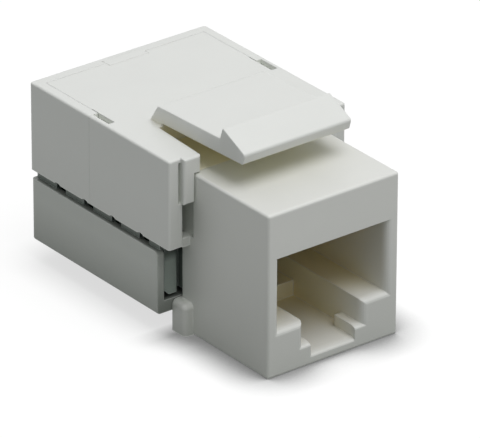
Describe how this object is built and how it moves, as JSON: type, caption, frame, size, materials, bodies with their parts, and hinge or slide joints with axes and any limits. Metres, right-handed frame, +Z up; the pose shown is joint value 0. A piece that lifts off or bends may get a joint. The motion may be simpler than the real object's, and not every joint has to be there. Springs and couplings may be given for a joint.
{
  "type": "keystone jack",
  "caption": "White snap-in network socket with a sprung latch arm on top, a port for a modular plug, and a grey cap under the body that presses wires into forked contacts.",
  "frame": {"origin": "middle of the bottom of the jack's box: on the centre plane, level with the front housing's underside, half way along the length", "axes": "+Z up, towards the latch; -Y is the way the port faces; +X is to the right seen from the port"},
  "size_m": [0.02, 0.0318, 0.0212],
  "materials": {
    "housing_white": "satin moulded white",
    "cover_white": "satin moulded white",
    "cap_grey": "smooth satin grey",
    "comb_plastic": "satin grey-green",
    "carrier_plastic": "natural satin",
    "board": "green solder mask",
    "contact_gold": "gold-plated spring wire",
    "contact_tin": "tin-plated strip"
  },
  "bodies": {
    "jack_body": {"front_housing": "housing_white", "top_cover": "cover_white", "rear_shell": "cover_white", "contact_carrier": "carrier_plastic", "circuit_board": "board", "idc_block": "comb_plastic", "jack_contact_1": "contact_gold", "jack_contact_2": "contact_gold", "jack_contact_3": "contact_gold", "jack_contact_4": "contact_gold", "jack_contact_5": "contact_gold", "jack_contact_6": "contact_gold", "jack_contact_7": "contact_gold", "jack_contact_8": "contact_gold", "idc_contact_1": "contact_tin", "idc_contact_2": "contact_tin", "idc_contact_3": "contact_tin", "idc_contact_4": "contact_tin", "idc_contact_5": "contact_tin", "idc_contact_6": "contact_tin", "idc_contact_7": "contact_tin", "idc_contact_8": "contact_tin"},
    "latch": {"latch_arm": "cover_white"},
    "contact_springs": {"contact_spring_1": "contact_gold", "contact_spring_2": "contact_gold", "contact_spring_3": "contact_gold", "contact_spring_4": "contact_gold", "contact_spring_5": "contact_gold", "contact_spring_6": "contact_gold", "contact_spring_7": "contact_gold", "contact_spring_8": "contact_gold"},
    "wire_cap": {"wire_cap": "cap_grey"}
  },
  "joints": [
    {"name": "latch_flex", "type": "hinge", "parent": "jack_body", "child": "latch", "pos_m": [0, 0.0013, 0.01895], "axis": [1, 0, 0], "range_deg": [0, 10], "stiffness_Nm_per_rad": 0.6},
    {"name": "spring_flex", "type": "hinge", "parent": "jack_body", "child": "contact_springs", "pos_m": [0, -0.0126, 0.0128], "axis": [1, 0, 0], "range_deg": [0, 15], "stiffness_Nm_per_rad": 0.2},
    {"name": "cap_slide", "type": "slide", "parent": "jack_body", "child": "wire_cap", "axis": [0, 0, -1], "range_m": [0, 0.008]}
  ]
}
